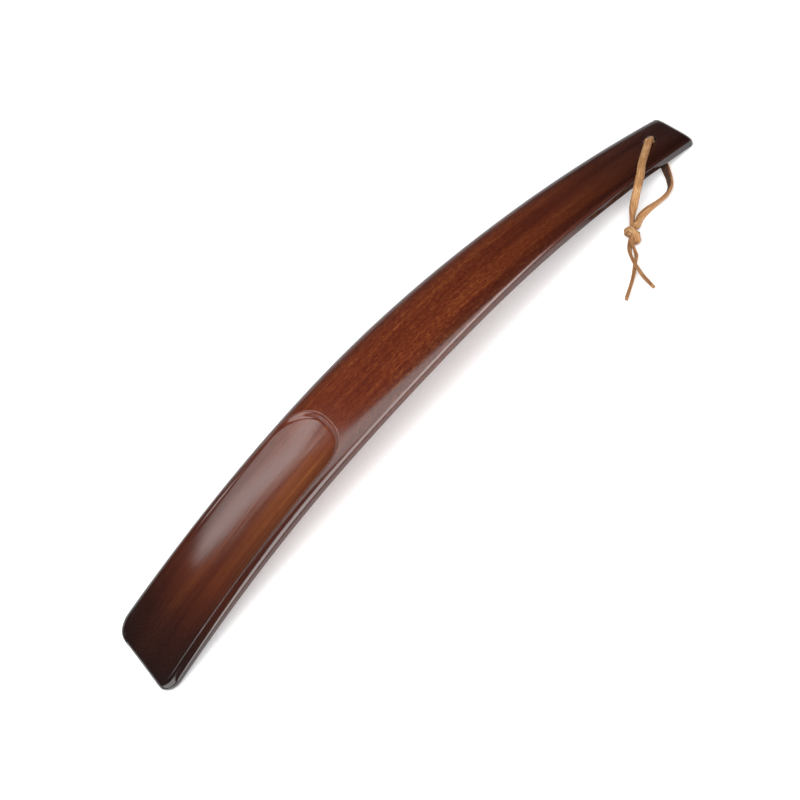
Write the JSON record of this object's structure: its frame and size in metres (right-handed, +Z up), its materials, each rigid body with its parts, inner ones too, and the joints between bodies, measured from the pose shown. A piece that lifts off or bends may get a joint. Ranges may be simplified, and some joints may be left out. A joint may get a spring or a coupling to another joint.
{
  "type": "shoehorn",
  "caption": "Arched wooden shoehorn with a scooped blade and a leather hanging lace knotted through a hole in the handle.",
  "frame": {"origin": "on the surface that the wood rests on, under the middle of the wood's bounding box", "axes": "+X from the blade's tip to the handle's end, +Z up, out of the scooped face; the lace lies on the -Y side"},
  "size_m": [0.2298, 0.0602, 0.0202],
  "materials": {
    "lacquered_wood": "high-gloss clear lacquer over dark red-brown mahogany stain, darker towards both ends",
    "lace_leather": "tan vegetable-tanned leather thong, matt with a suede back"
  },
  "bodies": {
    "wood": {"shoehorn_body": "lacquered_wood"},
    "lace": {"lace_loop": "lace_leather", "lace_knot": "lace_leather", "lace_front_tail": "lace_leather", "lace_back_tail": "lace_leather"}
  },
  "joints": [
    {"name": "lace_swing", "type": "hinge", "parent": "wood", "child": "lace", "pos_m": [0.10534, 0, 0.00235], "axis": [0.2638, 0, 0.9646], "range_deg": [-3, 278]}
  ]
}
